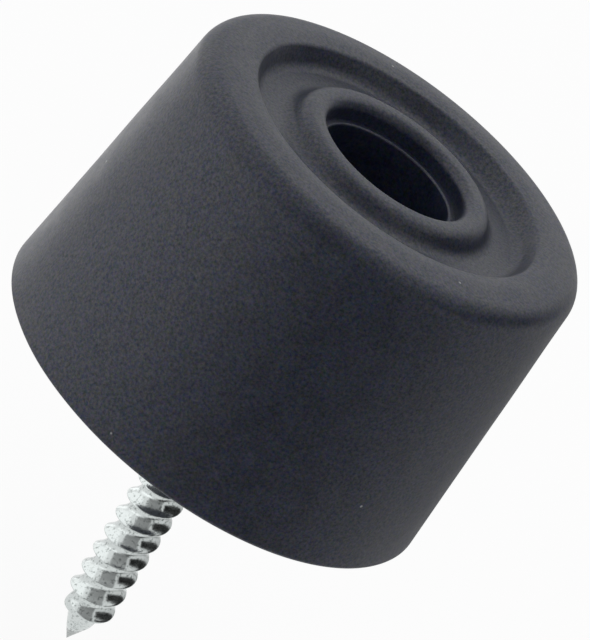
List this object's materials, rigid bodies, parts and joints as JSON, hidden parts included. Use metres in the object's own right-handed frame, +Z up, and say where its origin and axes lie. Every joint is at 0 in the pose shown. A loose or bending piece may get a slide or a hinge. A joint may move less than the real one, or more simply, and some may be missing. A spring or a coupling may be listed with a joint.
{
  "type": "rubber door stop",
  "caption": "Tapered round rubber door stop with a grooved top, a stepped bore and a countersunk wood screw that sticks out of its base.",
  "frame": {"origin": "middle of the flat base of the rubber body, which lies against the floor or wall", "axes": "+Z runs up the rubber body's axis, away from the floor or wall, and the screw's point leans from -Z towards +X and +Y"},
  "size_m": [0.038, 0.038, 0.0524],
  "materials": {
    "rubber": "satin moulded black rubber",
    "washer_steel": "zinc-plated pressed steel",
    "screw_zinc": "bright zinc-plated steel"
  },
  "bodies": {
    "root": {"rubber_body": "rubber", "seat_washer": "washer_steel", "wood_screw": "screw_zinc"}
  },
  "joints": []
}
